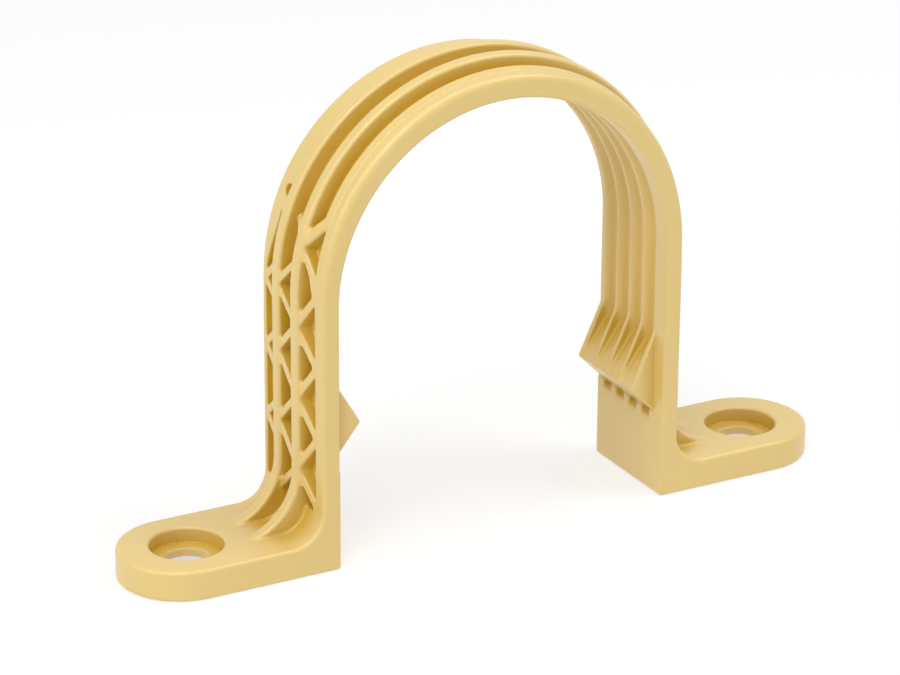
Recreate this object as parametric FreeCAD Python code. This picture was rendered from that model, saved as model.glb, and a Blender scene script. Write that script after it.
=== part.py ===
import FreeCAD, Part
import math
import os

# Two-hole pipe strap, moulded in one piece. Millimetres.
# X runs along the feet, Y across the band, Z up. The origin is the middle of the base plane.
# "height" in the band means the distance out from the inner face, which the pipe touches.

# Arch and legs
pipe_radius = 27.0            # inner face of the arch, and half the clear span between the legs
arch_centre_z = 40.0          # centre of the inner arch above the base
crown_rise = 0.8              # the outer arcs are centred this much higher: the crown is thicker
band_width = 19.0

# Outer side of the band: two flanges, two middle ribs, three channels
flange_height = 2.8
front_flange_width = 2.6
back_flange_width = 0.9
edge_round = 0.5              # rounding of the outer edges of the band and the feet
shelf_width = 3.9             # width of both flanges over the arch
back_shelf_start = 46.0       # the back flange widens here, by the distance up the leg and round the arch
rib_rise = 1.4                # the middle ribs stand this much above the flanges
rib_width = 2.1
rib_spacing = 5.8             # between the centres of the two middle ribs
rib_round = 0.55
floor_height = 1.5            # floor of the outer channels
side_draft = 0.15             # each channel wall leans by this much from floor to top

# Zigzag braces in the outer channels, placed by the distance up the leg and round the arch
first_node = 9.0
node_pitch = 5.45             # from a node to the next one across the channel
front_brace_count = 8
middle_brace_count = 7
back_brace_count = 7
back_node_drop = 1.6          # the nodes of the back channel lie this much lower than the others
brace_width = 1.15
brace_inset = 0.35            # a brace ends this much below the crown of a rib
cross_web_place = 51.9        # cross web behind the back rib, and the stub between the two ribs
stub_length = 1.4
stub_drop = 1.8               # the stub's free end is this much below the crown of a rib
pocket_bottom_z = 8.6

# Inner side: shallow channels between ribs flush with the inner face
inner_channel_depth = 0.7
inner_rib_width = 1.05
inner_rib_pitch = 3.68
inner_rib_shift = 1.0         # the inner ribs lie this far behind the middle of the band
inner_edge_round = 0.8
inner_channel_run = 1.6       # the channels end this far below the foot of the tooth

# Snap teeth: the left one sits higher and reaches further than the right one
left_tooth_top_z = 28.9
left_tooth_tip_z = 21.3
left_tooth_foot_z = 15.5
left_tooth_reach = 4.6        # from the inner face to the tip
right_tooth_top_z = 25.9
right_tooth_tip_z = 17.1
right_tooth_foot_z = 13.1
right_tooth_reach = 4.0
tooth_plate = 0.6             # closing plate under the tooth
tooth_blend = 1.0             # curve from the inner face into the tooth
tooth_tip_round = 0.25

# Feet
foot_thickness = 4.7
foot_fillet = 4.7
foot_end_offset = 0.8         # the foot's round end is centred this much beyond the hole
rib_sweep = 9.5               # radius on which the middle ribs run out onto the foot
rib_sweep_sink = 0.12         # the swept rib ends this much below the foot's top

# Screw holes
hole_spacing = 94.0
hole_radius = 3.35
counterbore_radius = 5.4
counterbore_depth = 2.4
rim_round = 0.3

# Places worked out from the sizes above
half_width = band_width / 2
outer_centre_z = arch_centre_z + crown_rise
rib_height = flange_height + rib_rise
front_rib_y = -rib_spacing / 2
back_rib_y = rib_spacing / 2
front_flange_y = half_width - front_flange_width
back_flange_y = half_width - back_flange_width
left_tooth = (left_tooth_top_z, left_tooth_tip_z, left_tooth_foot_z, left_tooth_reach)
right_tooth = (right_tooth_top_z, right_tooth_tip_z, right_tooth_foot_z, right_tooth_reach)
foot_end_x = hole_spacing / 2 + foot_end_offset
web_overlap = 0.1             # how far the inner and the outer half of the web reach into each other


def corner_arc(before, corner, after):
    """Start, middle and end of the arc that rounds a corner."""
    u, v, radius = corner
    to_before = math.hypot(before[0] - u, before[1] - v)
    to_after = math.hypot(after[0] - u, after[1] - v)
    a = ((before[0] - u) / to_before, (before[1] - v) / to_before)
    b = ((after[0] - u) / to_after, (after[1] - v) / to_after)
    half_angle = math.acos(a[0] * b[0] + a[1] * b[1]) / 2
    cut = radius / math.tan(half_angle)
    bisector = math.hypot(a[0] + b[0], a[1] + b[1])
    reach = (radius / math.sin(half_angle) - radius) / bisector
    start = (u + a[0] * cut, v + a[1] * cut)
    middle = (u + (a[0] + b[0]) * reach, v + (a[1] + b[1]) * reach)
    end = (u + b[0] * cut, v + b[1] * cut)
    return start, middle, end


def outline_face(points, place):
    """Flat face inside (u, v, radius) corners, each rounded by an arc of its radius."""
    arcs = []
    for i in range(len(points)):
        if points[i][2] > 0:
            arcs.append(corner_arc(points[i - 1], points[i], points[(i + 1) % len(points)]))
        else:
            arcs.append((points[i][:2], None, points[i][:2]))
    edges = []
    for i in range(len(arcs)):
        start, middle, end = arcs[i]
        if middle:
            edges.append(Part.Arc(place(*start), place(*middle), place(*end)).toShape())
        edges.append(Part.LineSegment(place(*end), place(*arcs[(i + 1) % len(arcs)][0])).toShape())
    return Part.Face(Part.Wire(edges))


def eased(points):
    """The same outline with each rounded corner turned into short flats that follow its arc."""
    found = []
    for i in range(len(points)):
        if points[i][2] == 0:
            found.append(points[i])
            continue
        start, middle, end = corner_arc(points[i - 1], points[i], points[(i + 1) % len(points)])
        found += [(start[0], start[1], 0), (middle[0], middle[1], 0), (end[0], end[1], 0)]
    return found


def side_plate(points, y_from, y_to):
    """Plate with an outline in X and Z, carried across the band from one Y to another."""
    face = outline_face(points, lambda x, z: FreeCAD.Vector(x, y_from, z))
    return face.extrude(FreeCAD.Vector(0, y_to - y_from, 0))


def mirrored(shape):
    return shape.mirror(FreeCAD.Vector(0, 0, 0), FreeCAD.Vector(1, 0, 0))


def u_bar(section, centre_z, left_bottom_z, right_bottom_z):
    """Bar of constant section in (y, height) that goes up one leg, over the arch and down the other."""
    face = outline_face(eased(section), lambda y, h: FreeCAD.Vector(-pipe_radius - h, y, centre_z))
    arch = face.revolve(FreeCAD.Vector(0, 0, centre_z), FreeCAD.Vector(0, 1, 0), 180)
    left = face.extrude(FreeCAD.Vector(0, 0, left_bottom_z - centre_z))
    right = face.extrude(FreeCAD.Vector(0, 0, right_bottom_z - centre_z))
    return [arch, left, mirrored(right)]


def rib_corners(y, root):
    """Corners of one middle rib, from its front foot over the crown to its back foot."""
    half = rib_width / 2
    return [
        (y - half - side_draft, root, 0),
        (y - half, rib_height, rib_round),
        (y + half, rib_height, rib_round),
        (y + half + side_draft, root, 0),
    ]


def outer_half():
    """Flanges, middle ribs and the floor of the three outer channels."""
    root = inner_channel_depth + web_overlap
    front = [
        (-half_width, root, 0),
        (-half_width, flange_height, edge_round),
        (-front_flange_y, flange_height, 0),
        (-front_flange_y + side_draft, floor_height, 0),
    ]
    back = [
        (back_flange_y - side_draft, floor_height, 0),
        (back_flange_y, flange_height, 0),
        (half_width, flange_height, edge_round),
        (half_width, root, 0),
    ]
    ribs = rib_corners(front_rib_y, floor_height) + rib_corners(back_rib_y, floor_height)
    return u_bar(front + ribs + back, outer_centre_z, pocket_bottom_z, pocket_bottom_z)


def inner_half():
    """Inner face with its shallow channels."""
    top = floor_height - web_overlap
    edge = (inner_rib_pitch - inner_rib_width) / 2
    section = [(-half_width, top, 0), (-half_width, 0, inner_edge_round)]
    for step in (-1.5, -0.5, 0.5, 1.5):
        y = inner_rib_shift + step * inner_rib_pitch
        section += [(y - edge, 0, 0), (y - edge + side_draft, inner_channel_depth, 0)]
        section += [(y + edge - side_draft, inner_channel_depth, 0), (y + edge, 0, 0)]
    section += [(half_width, 0, inner_edge_round), (half_width, top, 0)]
    left_end_z = left_tooth_foot_z - inner_channel_run
    right_end_z = right_tooth_foot_z - inner_channel_run
    return u_bar(section, arch_centre_z, left_end_z, right_end_z)


def arch_shelf(y_edge, y_inside, start_angle):
    """Part of the arch where a flange is wider, between equal angles above the two spring lines."""
    section = [
        (y_edge, floor_height - web_overlap, 0),
        (y_edge, flange_height, 0),
        (y_inside, flange_height, 0),
        (y_inside, floor_height - web_overlap, 0),
    ]
    face = outline_face(section, lambda y, h: FreeCAD.Vector(-pipe_radius - h, y, outer_centre_z))
    centre = FreeCAD.Vector(0, 0, outer_centre_z)
    axis = FreeCAD.Vector(0, 1, 0)
    face.rotate(centre, axis, start_angle)
    return face.revolve(centre, axis, 180 - 2 * start_angle)


def path_angle(distance):
    """Angle above the spring line, in degrees, of a place this far up the leg and round the arch."""
    return math.degrees(max(distance - outer_centre_z, 0) / (pipe_radius + flange_height))


def path_point(distance, y):
    """Point on the inner cylinder of the left side, that far up the leg and round the arch."""
    angle = math.radians(path_angle(distance))
    z = min(distance, outer_centre_z) + pipe_radius * math.sin(angle)
    return FreeCAD.Vector(-pipe_radius * math.cos(angle), y, z)


def brace(low, high):
    """Straight brace between two (distance, y, height) ends, low first."""
    angle = math.radians(path_angle((low[0] + high[0]) / 2))
    out = FreeCAD.Vector(-math.cos(angle), 0, math.sin(angle))
    start = path_point(low[0], low[1])
    end = path_point(high[0], high[1])
    end = end - out * out.dot(end - start)
    root = floor_height - web_overlap
    corners = [start + out * root, start + out * low[2], end + out * high[2], end + out * root]
    across = (end - start).cross(out)
    across.normalize()
    face = Part.Face(Part.makePolygon(corners + corners[:1]))
    face.translate(across * (-brace_width / 2))
    return face.extrude(across * brace_width)


def zigzag(start, y_even, height_even, y_odd, height_odd, count):
    """Braces between nodes that lie on the two sides of a channel by turns, the first one at the start."""
    nodes = []
    for i in range(count + 1):
        y = y_odd if i % 2 else y_even
        height = height_odd if i % 2 else height_even
        nodes.append((start + i * node_pitch, y, height))
    return [brace(nodes[i], nodes[i + 1]) for i in range(count)]


def braces():
    """Braces of the left side: flange to rib, rib to rib, rib to flange, and the last short web and stub."""
    front_y = -front_flange_y - brace_width / 2
    back_y = half_width - brace_width / 2 / math.sqrt(2)
    at_flange = flange_height - web_overlap
    at_back = flange_height - edge_round
    at_rib = rib_height - brace_inset
    bars = zigzag(first_node, front_y, at_flange, front_rib_y, at_rib, front_brace_count)
    bars += zigzag(first_node, back_rib_y, at_rib, front_rib_y, at_rib, middle_brace_count)
    bars += zigzag(first_node - back_node_drop, back_y, at_back, back_rib_y, flange_height, back_brace_count)
    shelf_y = half_width - shelf_width + brace_width / 2
    bars.append(brace((cross_web_place, back_rib_y, at_rib), (cross_web_place, shelf_y, at_flange)))
    stub_y = front_rib_y + rib_width / 2 + stub_length
    stub_end = rib_height - stub_drop
    bars.append(brace((cross_web_place, front_rib_y, at_rib), (cross_web_place, stub_y, stub_end)))
    return bars


def tooth(tooth_top_z, tooth_tip_z, tooth_foot_z, tooth_reach):
    """Snap tooth of the right leg: five ribs that slope inwards, closed below by a plate."""
    wall_x = pipe_radius
    deep_x = pipe_radius + inner_channel_depth + web_overlap
    tip_x = pipe_radius - tooth_reach
    under = math.atan2(tooth_tip_z - tooth_foot_z, tooth_reach)
    rise = tooth_plate / math.cos(under)
    deep_drop = (deep_x - wall_x) * math.tan(under)
    rib = [
        (wall_x, tooth_top_z, tooth_blend),
        (tip_x, tooth_tip_z, tooth_tip_round),
        (wall_x, tooth_foot_z, 0),
        (deep_x, tooth_foot_z, 0),
        (deep_x, tooth_top_z + tooth_blend, 0),
        (wall_x, tooth_top_z + tooth_blend, 0),
    ]
    plate = [
        (tip_x, tooth_tip_z, tooth_tip_round),
        (deep_x, tooth_foot_z - deep_drop, 0),
        (deep_x, tooth_foot_z - deep_drop + rise, 0),
        (tip_x, tooth_tip_z + rise, 0),
    ]
    half_rib = inner_rib_width / 2
    pieces = []
    for step in range(-2, 3):
        y = inner_rib_shift + step * inner_rib_pitch
        pieces.append(side_plate(rib, y - half_rib, y + half_rib))
    front = inner_rib_shift - 2 * inner_rib_pitch - half_rib
    back = inner_rib_shift + 2 * inner_rib_pitch + half_rib
    wedge = side_plate(rib, front, back)
    pieces.append(side_plate(plate, front, back).common(wedge))
    return pieces


def run_out(section, radius, sink):
    """Bar of a section in (y, height) that curves from the right leg out onto the foot."""
    centre_x = pipe_radius + max(h for y, h, r in section) + radius
    centre_z = foot_thickness - sink + radius
    face = outline_face(eased(section), lambda y, h: FreeCAD.Vector(pipe_radius + h, y, centre_z))
    return face.revolve(FreeCAD.Vector(centre_x, 0, centre_z), FreeCAD.Vector(0, 1, 0), -90)


def full_width(low, high, rounded_low, rounded_high):
    """Section over the whole width of the band, from a low to a high value."""
    return [
        (-half_width, high, rounded_high),
        (-half_width, low, rounded_low),
        (half_width, low, rounded_low),
        (half_width, high, rounded_high),
    ]


def foot(tooth_foot_z):
    """Foot of the right leg, its fillet and the solid lower end of the leg, up to the ends of the inner channels."""
    channel_end_z = tooth_foot_z - inner_channel_run
    knee_x = pipe_radius + flange_height + foot_fillet
    root = inner_channel_depth + web_overlap
    web_top = floor_height - web_overlap
    web_x = pipe_radius + web_top
    step = flange_height - web_top
    inside = [
        (pipe_radius + root, 0, 0),
        (foot_end_x, 0, 0),
        (foot_end_x, foot_thickness - step, 0),
        (web_x, foot_thickness - step, foot_fillet + step),
        (web_x, channel_end_z, 0),
        (pipe_radius + root, channel_end_z, 0),
    ]
    leg_end = full_width(0, web_top, inner_edge_round, 0)
    leg_face = outline_face(eased(leg_end), lambda y, h: FreeCAD.Vector(pipe_radius + h, y, 0))
    slab = full_width(0, foot_thickness, 0, edge_round)
    slab_face = outline_face(eased(slab), lambda y, z: FreeCAD.Vector(knee_x, y, z))
    rim = [
        (0, 0, 0),
        (half_width, 0, 0),
        (half_width, foot_thickness, edge_round),
        (0, foot_thickness, 0),
    ]
    rim_face = outline_face(eased(rim), lambda r, z: FreeCAD.Vector(foot_end_x, -r, z))
    bend = run_out(full_width(root, flange_height, 0, edge_round), foot_fillet, 0)
    for cut in pocket_bottoms():
        bend = bend.cut(cut)
    return [
        side_plate(inside, -half_width, half_width),
        leg_face.extrude(FreeCAD.Vector(0, 0, channel_end_z)),
        slab_face.extrude(FreeCAD.Vector(foot_end_x - knee_x, 0, 0)),
        rim_face.revolve(FreeCAD.Vector(foot_end_x, 0, 0), FreeCAD.Vector(0, 0, 1), 180),
        bend,
    ]


def pocket_bottoms():
    """What the three outer channels take away from the top of the right leg's solid end."""
    rib_half = rib_width / 2 + side_draft
    spans = [
        (-front_flange_y + side_draft, front_rib_y - rib_half),
        (front_rib_y + rib_half, back_rib_y - rib_half),
        (back_rib_y + rib_half, back_flange_y - side_draft),
    ]
    height = foot_thickness + foot_fillet
    cuts = []
    for y_from, y_to in spans:
        corner = FreeCAD.Vector(pipe_radius + floor_height, y_from, pocket_bottom_z)
        cuts.append(Part.makeBox(rib_height, y_to - y_from, height, corner))
    return cuts


def rib_ends():
    """Lower ends of the two middle ribs, which curve out onto the foot and fade into it."""
    ends = []
    for y in (front_rib_y, back_rib_y):
        ends.append(run_out(rib_corners(y, inner_channel_depth + web_overlap), rib_sweep, rib_sweep_sink))
    return ends


def screw_hole():
    """Counterbored hole of the right foot, with its upper rim rounded."""
    x = hole_spacing / 2
    seat_z = foot_thickness - counterbore_depth
    top_z = foot_thickness + counterbore_depth
    profile = [
        (0, -1, 0),
        (hole_radius, -1, 0),
        (hole_radius, seat_z, 0),
        (counterbore_radius, seat_z, 0),
        (counterbore_radius, foot_thickness, rim_round),
        (counterbore_radius + 2 * rim_round, foot_thickness, 0),
        (counterbore_radius + 2 * rim_round, top_z, 0),
        (0, top_z, 0),
    ]
    face = outline_face(eased(profile), lambda r, z: FreeCAD.Vector(x + r, 0, z))
    return face.revolve(FreeCAD.Vector(x, 0, 0), FreeCAD.Vector(0, 0, 1), 360)


def strap():
    shelf_edge = half_width - shelf_width
    front_start = path_angle(first_node + front_brace_count * node_pitch)
    back_start = path_angle(back_shelf_start)
    band = outer_half() + inner_half()
    band.append(arch_shelf(-shelf_edge, -half_width + front_flange_width / 2, front_start))
    band.append(arch_shelf(shelf_edge, half_width - back_flange_width / 2, back_start))
    right = foot(right_tooth_foot_z) + tooth(*right_tooth)
    left = foot(left_tooth_foot_z) + tooth(*left_tooth)
    ends = rib_ends()
    lattice = braces()
    pieces = band + right + ends + lattice
    pieces += [mirrored(p) for p in left + ends + lattice]
    body = pieces[0].multiFuse(pieces[1:])
    hole = screw_hole()
    body = body.cut(hole).cut(mirrored(hole))
    return body.removeSplitter()


os.makedirs("parts", exist_ok=True)
part = strap()
part.exportStep("parts/pipe_strap.step")
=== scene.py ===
"""Looks of a moulded two-hole pipe strap: ribbed band, lattice and snap teeth, plastic and studio.

Lengths in the shape functions are in millimetres, with X along the feet, Y across the band and Z up.
A height is the distance out from the pipe, and a path is the distance up the leg and round the arch.
"""
import math

import bpy
import numpy as np
from mathutils import Matrix, Vector


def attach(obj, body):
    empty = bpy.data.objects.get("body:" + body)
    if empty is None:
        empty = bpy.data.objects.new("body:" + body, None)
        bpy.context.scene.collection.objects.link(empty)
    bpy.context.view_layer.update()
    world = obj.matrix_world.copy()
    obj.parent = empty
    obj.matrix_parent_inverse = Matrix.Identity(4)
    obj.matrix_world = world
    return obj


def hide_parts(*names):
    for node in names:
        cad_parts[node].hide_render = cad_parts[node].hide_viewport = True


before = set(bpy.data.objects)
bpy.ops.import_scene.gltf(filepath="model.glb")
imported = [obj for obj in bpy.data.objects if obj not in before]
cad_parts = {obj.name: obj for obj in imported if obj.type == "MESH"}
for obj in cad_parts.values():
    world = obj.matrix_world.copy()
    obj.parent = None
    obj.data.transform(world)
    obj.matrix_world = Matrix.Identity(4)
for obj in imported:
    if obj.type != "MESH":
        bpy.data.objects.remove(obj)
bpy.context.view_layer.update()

MM = 0.001

# Arch, legs and feet, as the solid has them
PIPE_RADIUS = 27.0
INNER_CENTRE_Z = 40.0
OUTER_CENTRE_Z = 40.8
HALF_WIDTH = 9.5
FOOT_THICKNESS = 4.7
FOOT_FILLET = 4.7
FOOT_END_X = 47.8
HOLE_X = 47.0
HOLE_RADIUS = 3.35
COUNTERBORE_RADIUS = 5.4
COUNTERBORE_DEPTH = 2.4

# Outer side: two flanges, two middle ribs and the troughs between them
FLOOR_HEIGHT = 1.5
FLANGE_HEIGHT = 2.8
FRONT_FLANGE_Y = 6.9
BACK_FLANGE_Y = 8.6
SHELF_Y = 5.6
TROUGH_BOTTOM_Z = 8.6
RIB_HEIGHT = 4.2
RIB_HALF = 1.05
RIB_Y = 2.9
RIB_SWEEP = 9.5
RIB_SINK = 0.12
DRAFT = 0.15
TOP = OUTER_CENTRE_Z + PIPE_RADIUS + RIB_HEIGHT

# Zigzag braces, placed by the path. They reach below the troughs' floor and a little into the flanges.
FIRST_NODE = 9.0
NODE_PITCH = 5.45
FRONT_END = FIRST_NODE + 8 * NODE_PITCH
MIDDLE_END = FIRST_NODE + 7 * NODE_PITCH
BACK_DROP = 1.6
BRACE_HALF = 0.575
BRACE_TOP = 3.85
BRACE_BOTTOM = 1.0
BRACE_OVERLAP = 0.3
FLANGE_SINK = 0.1

# Lengths by which the uppermost braces lie lower than an even pitch, each eased in between two places
FRONT_MOVES = ((-1.6, 41.5, 45.0), (0.8, 46.0, 49.0))
MIDDLE_MOVES = ((0.8, 35.0, 41.0), (0.4, 41.0, 46.0))
BACK_MOVES = ((0.6, 34.0, 40.0),)

# The last front brace is thicker on each side, also eased in between two places on the path
LAST_BRACE_GAIN = 0.25
LAST_BRACE_EASE = (47.0, 49.0)

# The back flange widens over the arch, and the wide part of its trough ends there
BACK_WIDENING = (38.5, 49.5)
WIDENED_FLANGE_Y = 6.3
BACK_TROUGH_END = 51.0

# Web across the end of the back trough's wide part, which falls away from its rib
WEB_PATH = 51.9
WEB_HALF = 0.75
WEB_Y = 4.6
WEB_REACH = 1.8
WEB_FALL = 1.3
WEB_RUN = 2.2

# Small pocket beyond the web
POCKET_PATH = 53.6
POCKET_HALF_LENGTH = 0.8
POCKET_Y = 5.2
POCKET_HALF_WIDTH = 1.9
POCKET_FLOOR = 2.0

# Stub on the front middle rib: two ends as path and y, with the top falling away from the rib
STUB_START = (50.4, -RIB_Y)
STUB_END = (51.2, 0.0)
STUB_HALF = 0.8
STUB_FALL = 0.4
STUB_RUN = 2

# Inner side: channels between narrow ribs, notches under the teeth, and the block below, which stands proud
CHANNEL_DEPTH = 1.0
CHANNEL_ROUND = 1.5
CHANNEL_RUN = 1.6
INNER_PITCH = 3.68
INNER_SHIFT = 1.0
INNER_RIB_HALF = 0.525
NOTCH_HALF = 1.05
NOTCH_SLOPE = 0.8
BLOCK_STEP = 0.12
BLOCK_EASE = (0.15, 0.35)

# Snap teeth: the Z of the top, the tip and the foot, and the reach from the leg
LEFT_TOOTH = (28.9, 21.3, 15.5, 4.6)
RIGHT_TOOTH = (25.9, 17.1, 13.1, 4.0)
TOOTH_LIP = 0.3
TOOTH_ROOT = 0.1
RAMP_START = 0.8
RAMP_SHARE = 0.8

# Hollow under each foot, round the screw hole
RELIEF_RADIUS = 5.8
RELIEF_DEPTH = 1.0

# Roundings of the outer side
RIB_CROWN_ROUND = 0.6
ROOT_ROUND = 0.5
ROOT_FADE = 0.6
ROOT_FADE_TOP_Z = 20
BRACE_ROUND = 0.22
BRACE_ROOT = 0.3
BRACE_CORNER = 0.4
TROUGH_EDGE_ROUND = 0.3
TROUGH_STEP_ROUND = 0.25
TROUGH_END_ROUND = 0.5
TROUGH_BOTTOM_ROUND = 0.6
POCKET_ROUND = 0.7
WEB_ROUND = 0.3
STUB_ROUND = 0.5

# Roundings of the outer edges, which grow from the legs to the arch, eased on both sides of its centre
FRONT_EDGE_ROUND = 0.7
FRONT_EDGE_GAIN = 0.4
BACK_EDGE_ROUND = 0.35
BACK_EDGE_GAIN = 0.6
FOOT_EDGE_ROUND = 0.7
EDGE_EASE = 8

# Roundings of the inner side, the base and the holes
INNER_EDGE_ROUND = 0.45
TIP_ROUND = 0.25
TOOTH_BLEND = 0.3
TOOTH_SIDE_ROUND = 0.2
GROOVE_EDGE_ROUND = 0.3
RAMP_ROUND = 0.4
NOTCH_ROUND = 0.2
BASE_ROUND = 0.5
HOLE_ROUND = 0.5
RELIEF_ROUND = 0.3
RELIEF_EDGE_ROUND = 0.15

# Grid that the surface is taken from, and the simple boxes round the teeth and the feet that need it
STEP = 0.22
MOST_TRIANGLES = 190000
MOST_SHIFT = 0.15
LEAST_SLOPE = 0.5
TEETH_X = (22.4, 28)
TEETH_Z = (12, 31)
FEET_TOP_Z = 15

# Distances at which the space in front of the surface is measured, and the cosine of the leaning ways, for the
# masks of the painted groove shade and the painted edge highlight
CAVITY_REACHES = (0.6, 1.3, 2.6, 4.5)
LEAN_COS = 0.5
EDGE_REACH = 0.3

# Tan plastic: screen colours in the open, of the painted highlight along the edges and of the painted shade at
# the bottom of the grooves
TAN_DARK = (220, 188, 107)
TAN_LIGHT = (230, 202, 125)
EDGE_HIGHLIGHT_TAN = (246, 228, 176)
GROOVE_SHADE_GOLD = (206, 167, 45)

# Stored values at which the painted edge highlight and the painted groove shade start and are full, and their
# full share
EDGE_HIGHLIGHT_TINT = (0.1, 0.6, 0.45)
GROOVE_SHADE_TINT = (0.28, 0.88, 1.0)

# Noises of the plastic: scale, detail and roughness
CLOUDS = (45.0, 3.0, 0.55)
SPECKS = (700.0, 2.0, 0.5)
GRAIN = (2600.0, 2.0, 0.6)

# Gloss of the plastic: its least roughness, and what the clouds and the specks add to it
LEAST_ROUGHNESS = 0.34
CLOUDS_ROUGHNESS = 0.1
SPECKS_ROUGHNESS = 0.06

# Studio: the strength of the surroundings, the floor, and lamps with azimuth, elevation and watts
WHITE = (1.0, 1.0, 1.0, 1.0)
FLOOR_WHITE = (0.95, 0.95, 0.95, 1.0)
FLOOR_GLOW = 1.09
FLOOR_GLOW_SHARE = 0.55
FLOOR_HALF = 3000.0
FLOOR_Z = -0.02
AMBIENT = 0.45
LAMP_SIZE = 0.35
LAMP_AWAY = 0.8
LAMP_TARGET = (0, 0, 0.03)
SOFTBOXES = (
    ("key", -45, 52, 2.0),
    ("right", 60, 55, 1.6),
    ("left", -85, 25, 1.1),
    ("top", 0, 88, 0.9),
)

# Camera: angles in radians, focal length and picture width in pixels, the rest in millimetres
CAMERA_TURN = -0.504
CAMERA_RAISE = 0.387
CAMERA_ROLL = 0.007
CAMERA_TARGET = (-4.124, 0, 28.337)
CAMERA_AWAY = 557.84
FOCAL_PIXELS = 3821.8
PICTURE_PIXELS = 900
SENSOR_WIDTH = 36.0


def join(a, b, radius):
    """Union of two distances with a round fillet: radius - |(radius - a, radius - b)| near both."""
    reach = np.hypot(np.maximum(radius - a, 0), np.maximum(radius - b, 0))
    return np.maximum(radius, np.minimum(a, b)) - reach


def meet(a, b, radius):
    """Intersection of two distances with a rounded edge: the opposite of the union of their opposites."""
    return -join(-a, -b, radius)


def eased_step(value, start, end):
    """0 before start and 1 after end, with t t (3 - 2 t) between them."""
    t = np.clip((value - start) / (end - start), 0, 1)
    return t * t * (3 - 2 * t)


def height_above(x, z, centre_z):
    """Height above the pipe: |x| up the leg and |(x, z - centre)| round the arch, less the radius."""
    return np.where(z > centre_z, np.hypot(x, z - centre_z), np.abs(x)) - PIPE_RADIUS


def bar_side(u, y, even, odd):
    """Distance from the straight line between (0, even) and (pitch, odd), less half a brace's width."""
    length = math.hypot(NODE_PITCH, odd - even)
    return np.abs((y - even) * NODE_PITCH - u * (odd - even)) / length - BRACE_HALF


def zigzag(path, y, height, even, odd, last, ends):
    """Braces of one channel up to the last place on the path, as a distance.

    The path is folded at every node, u = |(s - s0 + pitch) mod 2 pitch - pitch|, so that all the braces lie
    on one line from (0, y of the even nodes) to (pitch, y of the odd ones). Its mirror images about both
    nodes are joined to it with a fillet, which webs the zigzag's corners. The top climbs from one end's
    height to the other's.
    """
    run = np.clip(path, FIRST_NODE, last)
    u = np.abs(np.mod(run - FIRST_NODE + NODE_PITCH, 2 * NODE_PITCH) - NODE_PITCH)
    side = bar_side(u, y, even, odd)
    side = join(side, bar_side(-u, y, even, odd), BRACE_CORNER)
    side = join(side, bar_side(2 * NODE_PITCH - u, y, even, odd), BRACE_CORNER)
    share = np.clip((y - even) / (odd - even), 0, 1)
    top = ends[0] + (ends[1] - ends[0]) * share
    side = side - DRAFT * np.clip((top - height) / 2, 0, 1)
    bar = meet(side, height - top, BRACE_ROUND)
    return np.maximum(bar, np.abs(y - (even + odd) / 2) - abs(odd - even) / 2)


def lowered(path, moves, drop=0):
    """The path plus the drop, and plus the length of each move, eased in between the move's two places."""
    place = path + drop
    for length, start, end in moves:
        place = place + length * eased_step(path, start, end)
    return place


def braces(path, y, height):
    """The zigzags of the front, middle and back trough, as one distance."""
    at_flange = FLANGE_HEIGHT - FLANGE_SINK
    front_y = -FRONT_FLANGE_Y - BRACE_OVERLAP
    place = lowered(path, FRONT_MOVES)
    front = zigzag(place, y, height, front_y, -RIB_Y, FRONT_END, (at_flange, BRACE_TOP))
    front = front - LAST_BRACE_GAIN * eased_step(path, *LAST_BRACE_EASE)
    place = lowered(path, MIDDLE_MOVES)
    middle = zigzag(place, y, height, RIB_Y, -RIB_Y, MIDDLE_END, (BRACE_TOP, BRACE_TOP))
    back_y = BACK_FLANGE_Y + BRACE_OVERLAP
    place = lowered(path, BACK_MOVES, BACK_DROP)
    back = zigzag(place, y, height, back_y, RIB_Y, MIDDLE_END, (at_flange, FLANGE_HEIGHT))
    return np.minimum(np.minimum(front, middle), back)


def capped_bar(path, y, start, end, half):
    """Distance in the plane of the path and y from a straight stroke with round ends."""
    run, rise = end[0] - start[0], end[1] - start[1]
    along = ((path - start[0]) * run + (y - start[1]) * rise) / (run * run + rise * rise)
    share = np.clip(along, 0, 1)
    return np.hypot(path - start[0] - share * run, y - start[1] - share * rise) - half


def web_and_stub(path, y, height):
    """The web where the back trough's wide part ends and the stub on the front middle rib, as one distance.

    Each top is at the ribs' height less its fall times the distance from its rib, up to the end of its run.
    """
    web = np.maximum(np.abs(path - WEB_PATH) - WEB_HALF, np.abs(y - WEB_Y) - WEB_REACH)
    fall = WEB_FALL * np.clip((y - RIB_Y - RIB_HALF) / WEB_RUN, 0, 1)
    web = meet(web, height - RIB_HEIGHT + fall, WEB_ROUND)
    stub = capped_bar(path, y, STUB_START, STUB_END, STUB_HALF)
    fall = STUB_FALL * np.clip(y + RIB_Y - RIB_HALF, 0, STUB_RUN)
    stub = meet(stub, height - RIB_HEIGHT + fall, STUB_ROUND)
    return np.minimum(web, stub)


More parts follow.
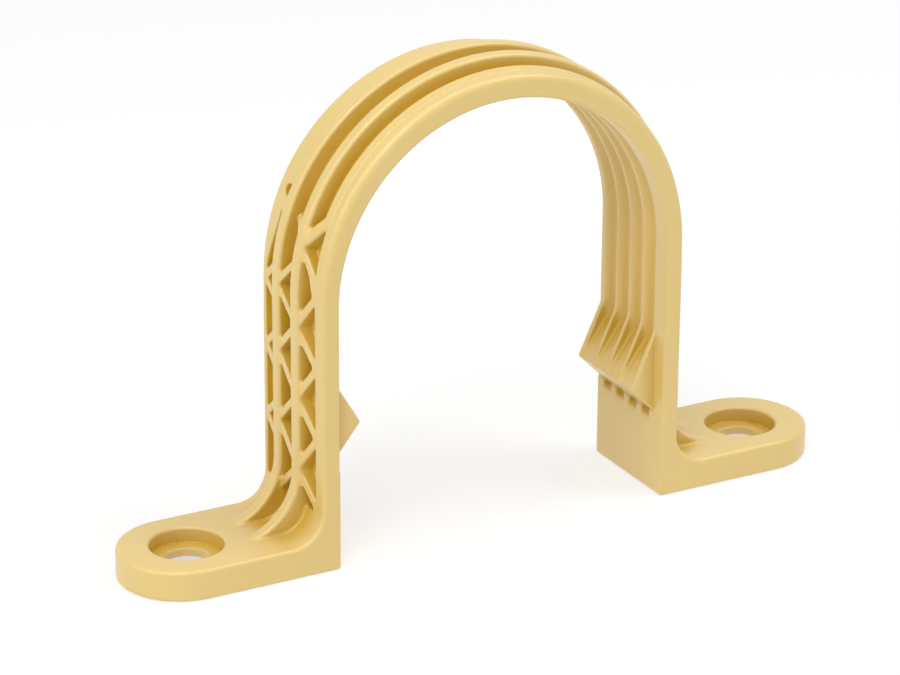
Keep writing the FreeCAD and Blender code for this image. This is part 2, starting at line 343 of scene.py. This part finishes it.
def troughs(path, y, z, height):
    """The three troughs and the small pocket beyond the back one, as one distance.

    Over the arch they are as narrow as the widened flanges leave them. On the leg the front one is wider up
    to its last brace. The back one's edge eases from the narrow flange to the wide one.
    """
    narrow = np.abs(y) - SHELF_Y
    wide_front = np.maximum(np.abs(y + FRONT_FLANGE_Y / 2) - FRONT_FLANGE_Y / 2, path - FRONT_END)
    widening = WIDENED_FLANGE_Y - BACK_FLANGE_Y
    back_edge = BACK_FLANGE_Y + widening * eased_step(path, *BACK_WIDENING)
    wide_back = meet(np.maximum(y - back_edge, -y), path - BACK_TROUGH_END, TROUGH_END_ROUND)
    pocket_width = np.abs(y - POCKET_Y) - POCKET_HALF_WIDTH
    pocket = meet(pocket_width, np.abs(path - POCKET_PATH) - POCKET_HALF_LENGTH, POCKET_ROUND)
    pocket = np.maximum(pocket, POCKET_FLOOR - height)
    trough = join(join(narrow, wide_front, TROUGH_STEP_ROUND), wide_back, TROUGH_STEP_ROUND)
    trough = meet(np.minimum(trough, pocket), FLOOR_HEIGHT - height, ROOT_ROUND)
    return meet(trough, TROUGH_BOTTOM_Z - z, TROUGH_BOTTOM_ROUND)


def with_ribs(body, side_x, y, z, height):
    """The body with both middle ribs joined to it.

    Their crown follows the band and sweeps out onto the foot along a quarter circle. Their sides lean by
    the draft. The fillet at their root fades with the circle's height, radius - sqrt(radius^2 - run^2).
    """
    crown = join(height - RIB_HEIGHT, z - FOOT_THICKNESS + RIB_SINK, RIB_SWEEP)
    lean = DRAFT * np.clip(-crown / (RIB_HEIGHT - FLOOR_HEIGHT), 0, 1)
    sweep_x = PIPE_RADIUS + RIB_HEIGHT + RIB_SWEEP
    drop = np.sqrt(np.maximum(RIB_SWEEP ** 2 - np.clip(sweep_x - side_x, 0, RIB_SWEEP) ** 2, 0))
    above_foot = RIB_SWEEP - drop - RIB_SINK
    fillet = ROOT_ROUND * np.where(z > ROOT_FADE_TOP_Z, 1, np.clip(above_foot / ROOT_FADE, 0, 1))
    for place in (-RIB_Y, RIB_Y):
        rib = meet(np.abs(y - place) - RIB_HALF - lean, crown, RIB_CROWN_ROUND)
        body = join(body, rib, fillet)
    return body


def outer_side(x, y, z):
    """Leg, arch and foot below the outer surface: flanged body less the troughs, with braces and ribs."""
    height = height_above(x, z, OUTER_CENTRE_Z)
    side_x = np.abs(x)
    angle = np.arctan2(np.maximum(z - OUTER_CENTRE_Z, 0), np.maximum(side_x, 1e-6))
    path = np.minimum(z, OUTER_CENTRE_Z) + (PIPE_RADIUS + FLANGE_HEIGHT) * angle
    body = join(height - FLANGE_HEIGHT, z - FOOT_THICKNESS, FOOT_FILLET)
    body = meet(body, -troughs(path, y, z, height), TROUGH_EDGE_ROUND)
    bars = np.minimum(braces(path, y, height), web_and_stub(path, y, height))
    body = join(body, np.maximum(bars, BRACE_BOTTOM - height), BRACE_ROOT)
    return with_ribs(body, side_x, y, z, height)


def outer_rounding(side_x, y, z):
    """Radius of the outer edges: it grows from the legs to the arch, and is even on the feet."""
    on_arch = eased_step(z, OUTER_CENTRE_Z - EDGE_EASE, OUTER_CENTRE_Z + EDGE_EASE)
    front = FRONT_EDGE_ROUND + FRONT_EDGE_GAIN * on_arch
    back = BACK_EDGE_ROUND + BACK_EDGE_GAIN * on_arch
    on_foot = side_x > PIPE_RADIUS + FLANGE_HEIGHT + 1
    return np.where(on_foot, FOOT_EDGE_ROUND, np.where(y < 0, front, back))


def tooth_faces(x, z):
    """Distances from the tooth's two slopes and from the floor of its pockets, and its foot's height.

    They are those of the left tooth where x is negative, and those of the right one elsewhere.
    """
    sizes = zip(LEFT_TOOTH, RIGHT_TOOTH)
    top, tip, foot, reach = [np.where(x < 0, left, right) for left, right in sizes]
    out = np.abs(x) - PIPE_RADIUS + reach
    rise, fall = top - tip, tip - foot
    upper = ((z - tip) * reach - out * rise) / np.hypot(reach, rise)
    lower = -((z - tip) * reach + out * fall) / np.hypot(reach, fall)
    run, climb = reach + RAMP_START, RAMP_SHARE * rise
    ramp = ((out - TOOTH_LIP) * climb - (z - tip) * run) / np.hypot(run, climb)
    return upper, lower, ramp, foot


def tooth_wedge(across, inward, upper, lower):
    """The snap tooth as one wedge, as wide as the five inner ribs, blended into the leg above it."""
    wedge = join(-inward, meet(upper, lower, TIP_ROUND), TOOTH_BLEND)
    wedge = np.maximum(wedge, np.maximum(inward - FLOOR_HEIGHT + TOOTH_ROOT, lower))
    half = 2 * INNER_PITCH + INNER_RIB_HALF
    return meet(np.abs(across) - half, wedge, TOOTH_SIDE_ROUND)


def inner_grooves(across, z, inward, lower, ramp, foot_z):
    """Channels and notches of the inner side, as one distance.

    Each point belongs to the nearest of four places between the ribs. A channel has a round bottom,
    |(across, inward + round - depth)| - round, and its floor climbs to the tooth's lip. Below the tooth it
    goes on as a short notch that gets shallower downwards.
    """
    off_middle = across - (np.clip(np.floor(across / INNER_PITCH), -2, 1) + 0.5) * INNER_PITCH
    deep = np.maximum(inward + CHANNEL_ROUND - CHANNEL_DEPTH, 0)
    channel = meet(np.hypot(off_middle, deep) - CHANNEL_ROUND, ramp, RAMP_ROUND)
    notch = np.maximum(inward - CHANNEL_DEPTH, NOTCH_SLOPE * (inward - z + foot_z - CHANNEL_RUN))
    notch = meet(notch, -lower, NOTCH_ROUND)
    notch = meet(np.abs(off_middle) - NOTCH_HALF, notch, NOTCH_ROUND)
    return np.minimum(channel, notch)


def with_screw_holes(body, side_x, y, z):
    """The body less both counterbored holes, and less a shallow hollow round each of them from below."""
    away = np.hypot(side_x - HOLE_X, y)
    counterbore = np.maximum(away - COUNTERBORE_RADIUS, FOOT_THICKNESS - COUNTERBORE_DEPTH - z)
    body = meet(body, -np.minimum(away - HOLE_RADIUS, counterbore), HOLE_ROUND)
    hollow = meet(away - RELIEF_RADIUS, z - RELIEF_DEPTH, RELIEF_ROUND)
    return meet(body, -hollow, RELIEF_EDGE_ROUND)


def moulding(x, y, z):
    """Signed distance to the strap's surface, in millimetres, negative inside.

    The outer side is met with the plan of the band and the feet and with the inner face, which stands
    slightly proud below each tooth. The tooth is added, and then the grooves, base and holes are cut.
    """
    side_x = np.abs(x)
    plan = np.where(side_x > FOOT_END_X, np.hypot(side_x - FOOT_END_X, y), np.abs(y)) - HALF_WIDTH
    upper, lower, ramp, foot_z = tooth_faces(x, z)
    inward = height_above(x, z, INNER_CENTRE_Z)
    block = BLOCK_STEP * eased_step(-z, BLOCK_EASE[0] - foot_z, BLOCK_EASE[1] - foot_z)
    sides = meet(plan, -inward - block, INNER_EDGE_ROUND)
    body = meet(outer_side(x, y, z), sides, outer_rounding(side_x, y, z))
    across = y - INNER_SHIFT
    body = np.minimum(body, tooth_wedge(across, inward, upper, lower))
    body = meet(body, -inner_grooves(across, z, inward, lower, ramp, foot_z), GROOVE_EDGE_ROUND)
    body = meet(body, -z, BASE_ROUND)
    return with_screw_holes(body, side_x, y, z)


def near_moulding(x, z, margin):
    """True where a point lies within the margin of the strap's simple envelope, seen along the pipe."""
    outer = height_above(x, z, OUTER_CENTRE_Z)
    inner = height_above(x, z, INNER_CENTRE_Z)
    side_x = np.abs(x)
    band = (outer < RIB_HEIGHT + margin) & (inner > -margin)
    beside_tooth = (side_x > TEETH_X[0] - margin) & (side_x < TEETH_X[1])
    tooth = beside_tooth & (z > TEETH_Z[0]) & (z < TEETH_Z[1])
    foot = (side_x > PIPE_RADIUS - margin) & (z < FEET_TOP_Z)
    return band | tooth | foot


def sampled_field(step):
    """The distance on a regular grid, worked out near the strap. Elsewhere it is plainly outside."""
    margin = 3 * step
    end_x = FOOT_END_X + HALF_WIDTH + margin
    xs = np.arange(-end_x, end_x, step)
    ys = np.arange(-HALF_WIDTH - margin, HALF_WIDTH + margin, step)
    zs = np.arange(-margin, TOP + margin, step)
    x_grid, z_grid = np.meshgrid(xs, zs, indexing="ij")
    i, k = np.nonzero(near_moulding(x_grid, z_grid, margin))
    field = np.full((len(xs), len(ys), len(zs)), 1.0, np.float32)
    field[i, :, k] = moulding(xs[i][:, None], ys[None, :], zs[k][:, None])
    return field, np.array([xs[0], ys[0], zs[0]])


def net_points(field, cells):
    """One point for each cell, counted in cells: the mean of the crossings on its edges.

    On an edge whose distance goes from low to high through zero the crossing lies at low / (low - high).
    """
    total = np.zeros((len(cells), 3))
    crossings = np.zeros(len(cells))
    for axis in range(3):
        for corner in np.ndindex(2, 2, 2):
            if corner[axis]:
                continue
            start = cells + corner
            end = start.copy()
            end[:, axis] += 1
            low = field[tuple(start.T)]
            high = field[tuple(end.T)]
            crosses = (low < 0) != (high < 0)
            share = np.where(crosses, low / np.where(crosses, low - high, 1), 0)
            place = np.tile(np.array(corner, float), (len(cells), 1))
            place[:, axis] = share
            total += place * crosses[:, None]
            crossings += crosses
    return cells + total / crossings[:, None]


def net_quads(inside, number):
    """One quad for each grid edge that crosses the surface, between its four cells, facing outwards."""
    quads = []
    for axis in range(3):
        b, c = (axis + 1) % 3, (axis + 2) % 3
        first = [slice(1, size - 1) for size in inside.shape]
        second = list(first)
        first[axis] = slice(0, inside.shape[axis] - 1)
        second[axis] = slice(1, inside.shape[axis])
        low, high = inside[tuple(first)], inside[tuple(second)]
        at = np.argwhere(low != high)
        outward = low[tuple(at.T)]
        at[:, b] += 1
        at[:, c] += 1
        ring = []
        for db, dc in ((-1, -1), (0, -1), (0, 0), (-1, 0)):
            cell = at.copy()
            cell[:, b] += db
            cell[:, c] += dc
            ring.append(number[tuple(cell.T)])
        ring = np.stack(ring, axis=1)
        quads.append(np.where(outward[:, None], ring, ring[:, ::-1]))
    return np.concatenate(quads)


def surface_net(field, origin, step):
    """Surface where the sampled distance is zero: one point in each cell with corners on both sides."""
    inside = field < 0
    shape = tuple(n - 1 for n in field.shape)
    count = np.zeros(shape, np.int8)
    for a, b, c in np.ndindex(2, 2, 2):
        count += inside[a:a + shape[0], b:b + shape[1], c:c + shape[2]]
    cells = np.argwhere((count > 0) & (count < 8))
    number = np.full(shape, -1, np.int32)
    number[tuple(cells.T)] = np.arange(len(cells))
    return origin + step * net_points(field, cells), net_quads(inside, number)


def gradient(points, reach=0.03):
    """Distance and its slope at each point, by central differences."""
    x, y, z = points.T
    steps = []
    for axis in range(3):
        shift = [reach if axis == other else 0 for other in range(3)]
        more = moulding(x + shift[0], y + shift[1], z + shift[2])
        less = moulding(x - shift[0], y - shift[1], z - shift[2])
        steps.append((more - less) / (2 * reach))
    return moulding(x, y, z), np.stack(steps, axis=1)


def groove_shade_mask(points, normals):
    """How closed in each point is, from 0 in the open to 1 at the bottom of a narrow groove. It masks the
    painted shade in the grooves.

    Seven ways are looked along, the normal and six that lean from it by sixty degrees. In each one the
    openness is the least of distance / (reach cos(lean)) at four reaches, which is 1 over a flat face. They
    are weighted by the cosine.
    """
    not_upright = np.abs(normals[:, 2:]) < 0.9
    first = np.cross(normals, np.where(not_upright, [0.0, 0.0, 1.0], [1.0, 0.0, 0.0]))
    first /= np.linalg.norm(first, axis=1)[:, None]
    second = np.cross(normals, first)
    ways = [(normals, 1.0)]
    for turn in np.arange(6) * math.pi / 3:
        sideways = first * math.cos(turn) + second * math.sin(turn)
        ways.append((normals * LEAN_COS + sideways * math.sqrt(1 - LEAN_COS ** 2), LEAN_COS))
    seen = 0
    for way, share in ways:
        free = 1.0
        for reach in CAVITY_REACHES:
            free = np.minimum(free, moulding(*(points + way * reach).T) / (reach * share))
        seen = seen + share * np.clip(free, 0, 1)
    return 1 - seen / sum(share for way, share in ways)


def edge_highlight_mask(points, normals):
    """How sharp the edge at each point is, which masks the painted edge highlight: 1 minus the depth a short
    way inwards over that way's length.
    """
    depth = -moulding(*(points - normals * EDGE_REACH).T)
    return 1 - np.clip(depth / EDGE_REACH, 0, 1)


def mesh_from(name, points, faces):
    """Mesh in metres from points in millimetres and an array of faces of equal size."""
    mesh = bpy.data.meshes.new(name)
    corners = faces.shape[1]
    mesh.vertices.add(len(points))
    mesh.vertices.foreach_set("co", (points * MM).astype(np.float32).ravel())
    mesh.loops.add(faces.size)
    mesh.loops.foreach_set("vertex_index", faces.astype(np.int32).ravel())
    mesh.polygons.add(len(faces))
    mesh.polygons.foreach_set("loop_start", np.arange(0, faces.size, corners, dtype=np.int32))
    mesh.update(calc_edges=True)
    mesh.validate()
    return mesh


def mesh_points(mesh):
    """Points of a mesh as an array, in millimetres."""
    flat = np.empty(3 * len(mesh.vertices), np.float32)
    mesh.vertices.foreach_get("co", flat)
    return flat.reshape(-1, 3).astype(float) / MM


def facing(points, corners):
    """Normal of each triangle, as long as twice its area."""
    first, second, third = (points[corners[:, i]] for i in range(3))
    return np.cross(second - first, third - first)


def unfolded(points, start, mesh):
    """Points that have been moved, with those of any triangle that this turned over put back."""
    corners = np.empty(3 * len(mesh.polygons), np.int32)
    mesh.polygons.foreach_get("vertices", corners)
    corners = corners.reshape(-1, 3)
    turned = (facing(points, corners) * facing(start, corners)).sum(axis=1) < 0
    points[corners[turned]] = start[corners[turned]]
    return points


def thinned(points, quads):
    """Triangle mesh of the surface, with fewer triangles where it is flat."""
    rough = bpy.data.objects.new("strap_rough", mesh_from("strap_rough", points, quads))
    bpy.context.scene.collection.objects.link(rough)
    thin = rough.modifiers.new("thin", "DECIMATE")
    thin.ratio = min(1.0, MOST_TRIANGLES / (2 * len(quads)))
    thin.use_collapse_triangulate = True
    graph = bpy.context.evaluated_depsgraph_get()
    mesh = bpy.data.meshes.new_from_object(rough.evaluated_get(graph))
    bpy.data.objects.remove(rough)
    return mesh


def settled(start, mesh):
    """Points set back on the exact surface, and kept between the base and the top.

    They are moved twice by distance / |slope|^2 against the slope.
    """
    points = start
    for _ in range(2):
        distance, lean = gradient(points)
        length = np.maximum(np.linalg.norm(lean, axis=1), LEAST_SLOPE)
        shift = np.clip(distance / length ** 2, -MOST_SHIFT, MOST_SHIFT)
        points = points - lean * shift[:, None]
    points = unfolded(points, start, mesh)
    points[:, 2] = np.clip(points[:, 2], 0, TOP)
    return points


def build_strap():
    """The strap's surface, taken from the grid, with exact normals and the values its material reads."""
    field, origin = sampled_field(STEP)
    mesh = thinned(*surface_net(field, origin, STEP))
    points = settled(mesh_points(mesh), mesh)
    mesh.vertices.foreach_set("co", (points * MM).astype(np.float32).ravel())
    lean = gradient(points)[1]
    normals = lean / np.maximum(np.linalg.norm(lean, axis=1), 1e-9)[:, None]
    mesh.update()
    mesh.shade_smooth()
    mesh.normals_split_custom_set_from_vertices(normals.astype(np.float32))
    # The stored values mask the painted shade in the grooves and the painted highlight along the edges.
    for name, values in (("cavity", groove_shade_mask(points, normals)), ("edge", edge_highlight_mask(points, normals))):
        attribute = mesh.attributes.new(name, "FLOAT", "POINT")
        attribute.data.foreach_set("value", values.astype(np.float32))
    mesh.name = "strap"
    strap = bpy.data.objects.new("strap", mesh)
    bpy.context.scene.collection.objects.link(strap)
    return strap


class Socket:
    """A shader socket in an expression: arithmetic on it adds Math nodes."""

    def __init__(self, paint, socket):
        self.paint = paint
        self.socket = socket

    def maths(self, operation, other):
        return self.paint.node("ShaderNodeMath", {"operation": operation}, {0: self, 1: other})

    def __add__(self, other):
        return self.maths("ADD", other)

    __radd__ = __add__

    def __mul__(self, other):
        return self.maths("MULTIPLY", other)

    __rmul__ = __mul__


class Paint:
    """The nodes of a material or a world under construction."""

    def __init__(self, owner):
        owner.use_nodes = True
        self.tree = owner.node_tree
        self.tree.nodes.clear()

    def node(self, kind, settings=None, inputs=None, output=0):
        """Adds a node: its settings first, then values or links on its sockets. Returns one of its outputs."""
        node = self.tree.nodes.new(kind)
        for name, value in (settings or {}).items():
            setattr(node, name, value)
        for name, value in (inputs or {}).items():
            if isinstance(value, Socket):
                self.tree.links.new(value.socket, node.inputs[name])
            else:
                node.inputs[name].default_value = value
        return Socket(self, node.outputs[output]) if len(node.outputs) else None

    def noise(self, place, scale, detail, roughness):
        """Noise with about as many cells to the metre as its scale."""
        inputs = {"Vector": place, "Scale": scale, "Detail": detail, "Roughness": roughness}
        return self.node("ShaderNodeTexNoise", {}, inputs)

    def blend(self, factor, first, second):
        """Colour that goes from the first to the second with the factor."""
        inputs = {"Factor": factor, 6: first, 7: second}
        return self.node("ShaderNodeMix", {"data_type": "RGBA"}, inputs, output=2)

    def stored(self, name, start, end, most, course):
        """Value stored on the mesh, mapped to 0 at the start and to the most at the end."""
        value = self.node("ShaderNodeAttribute", {"attribute_name": name}, output="Fac")
        limits = {0: value, 1: start, 2: end, 3: 0.0, 4: most}
        return self.node("ShaderNodeMapRange", {"interpolation_type": course}, limits)


def linear(red, green, blue):
    """Colour from screen values of 0 to 255, as linear light with alpha 1."""
    values = [v / 255 for v in (red, green, blue)]
    return [v / 12.92 if v <= 0.04045 else ((v + 0.055) / 1.055) ** 2.4 for v in values] + [1.0]


def tan_plastic():
    """Satin tan moulded plastic.

    The colour is slightly clouded, with a painted highlight along the edges, and it deepens to gold in the
    grooves as painted shade, which stands for the shade there and for the light that goes from wall to wall
    through the plastic. The gloss is uneven and the surface has a very fine grain.
    """
    material = bpy.data.materials.new("moulded_tan_plastic")
    paint = Paint(material)
    place = paint.node("ShaderNodeTexCoord", output="Object")
    clouds = paint.noise(place, *CLOUDS)
    specks = paint.noise(place, *SPECKS)
    grain = paint.noise(place, *GRAIN)
    colour = paint.blend(clouds * 0.8 + specks * 0.2, linear(*TAN_DARK), linear(*TAN_LIGHT))
    # Painted highlight: the colour is paler along sharp edges.
    edge = paint.stored("edge", *EDGE_HIGHLIGHT_TINT, "LINEAR")
    colour = paint.blend(edge, colour, linear(*EDGE_HIGHLIGHT_TAN))
    # Painted shade: the colour deepens to gold where the surface is closed in, as in the grooves.
    groove = paint.stored("cavity", *GROOVE_SHADE_TINT, "SMOOTHSTEP")
    colour = paint.blend(groove, colour, linear(*GROOVE_SHADE_GOLD))
    rough = LEAST_ROUGHNESS + clouds * CLOUDS_ROUGHNESS + specks * SPECKS_ROUGHNESS
    bump = paint.node("ShaderNodeBump", {}, {"Strength": 0.12, "Distance": 0.00004, "Height": grain})
    shader = paint.node("ShaderNodeBsdfPrincipled", {}, {
        "Base Color": colour, "Roughness": rough, "Normal": bump, "IOR": 1.5, "Specular IOR Level": 0.8,
        "Coat Weight": 0.3, "Coat Roughness": 0.25, "Coat IOR": 1.5})
    paint.node("ShaderNodeOutputMaterial", {}, {"Surface": shader})
    return material


def white_floor():
    """Pale floor: white in a gloss, and a mix of white and its own soft shadow to the camera."""
    material = bpy.data.materials.new("pale_floor")
    paint = Paint(material)
    direct = paint.node("ShaderNodeLightPath", output="Is Camera Ray")
    gloss = paint.node("ShaderNodeLightPath", output="Is Glossy Ray")
    diffuse = paint.node("ShaderNodeBsdfDiffuse", {}, {"Color": FLOOR_WHITE})
    white = paint.node("ShaderNodeEmission", {}, {"Color": WHITE, "Strength": FLOOR_GLOW})
    share = direct * FLOOR_GLOW_SHARE + gloss
    mixed = paint.node("ShaderNodeMixShader", {}, {0: share, 1: diffuse, 2: white})
    paint.node("ShaderNodeOutputMaterial", {}, {"Surface": mixed})
    return material


def build_floor():
    """Flat square floor, just below the feet."""
    signs = ((-1, -1), (1, -1), (1, 1), (-1, 1))
    corners = np.array([(x * FLOOR_HALF, y * FLOOR_HALF, FLOOR_Z) for x, y in signs])
    mesh = mesh_from("floor", corners, np.array([[0, 1, 2, 3]]))
    floor = bpy.data.objects.new("floor", mesh)
    bpy.context.scene.collection.objects.link(floor)
    mesh.materials.append(white_floor())


def build_world():
    """Even white surroundings: plain white where seen or in a gloss, and a moderate light elsewhere."""
    world = bpy.data.worlds.new("studio")
    bpy.context.scene.world = world
    paint = Paint(world)
    direct = paint.node("ShaderNodeLightPath", output="Is Camera Ray")
    gloss = paint.node("ShaderNodeLightPath", output="Is Glossy Ray")
    through = paint.node("ShaderNodeLightPath", output="Is Transmission Ray")
    ambient = paint.node("ShaderNodeBackground", {}, {"Color": WHITE, "Strength": AMBIENT})
    white = paint.node("ShaderNodeBackground", {}, {"Color": WHITE, "Strength": 1.0})
    mixed = paint.node("ShaderNodeMixShader", {}, {0: direct + gloss + through, 1: ambient, 2: white})
    paint.node("ShaderNodeOutputWorld", {}, {"Surface": mixed})


def direction(turn, raised):
    """Unit vector that is turned to the right of the front and raised, by angles in radians."""
    flat = math.cos(raised)
    return Vector((math.sin(turn) * flat, -math.cos(turn) * flat, math.sin(raised)))


def add_softbox(name, azimuth, elevation, watts):
    """Square area lamp that shines at the strap from a direction in degrees."""
    way = direction(math.radians(azimuth), math.radians(elevation))
    lamp = bpy.data.lights.new(name, "AREA")
    lamp.shape = "SQUARE"
    lamp.size = LAMP_SIZE
    lamp.energy = watts
    holder = bpy.data.objects.new(name, lamp)
    place = Matrix.Translation(Vector(LAMP_TARGET) + way * LAMP_AWAY)
    holder.matrix_world = place @ way.to_track_quat("Z", "Y").to_matrix().to_4x4()
    bpy.context.scene.collection.objects.link(holder)


def build_camera():
    """Camera fitted to the photograph: turned and raised about a point near the middle of the strap."""
    back = direction(CAMERA_TURN, CAMERA_RAISE)
    right = Vector((math.cos(CAMERA_TURN), math.sin(CAMERA_TURN), 0))
    up = back.cross(right)
    sine, cosine = math.sin(CAMERA_ROLL), math.cos(CAMERA_ROLL)
    right, up = right * cosine + up * sine, up * cosine - right * sine
    lens = bpy.data.cameras.new("camera")
    lens.sensor_width = SENSOR_WIDTH
    lens.lens = FOCAL_PIXELS / PICTURE_PIXELS * SENSOR_WIDTH
    lens.clip_start = 0.01
    lens.clip_end = 20.0
    camera = bpy.data.objects.new("camera", lens)
    place = Vector(CAMERA_TARGET) * MM + back * CAMERA_AWAY * MM
    camera.matrix_world = Matrix((
        (right.x, up.x, back.x, place.x),
        (right.y, up.y, back.y, place.y),
        (right.z, up.z, back.z, place.z),
        (0, 0, 0, 1)))
    bpy.context.scene.collection.objects.link(camera)
    bpy.context.scene.camera = camera


bpy.context.scene.view_settings.view_transform = "Standard"
build_camera()
build_world()
build_floor()
for lamp in SOFTBOXES:
    add_softbox(*lamp)

strap = build_strap()
strap.data.materials.append(tan_plastic())
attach(strap, "root")
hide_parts("pipe_strap")
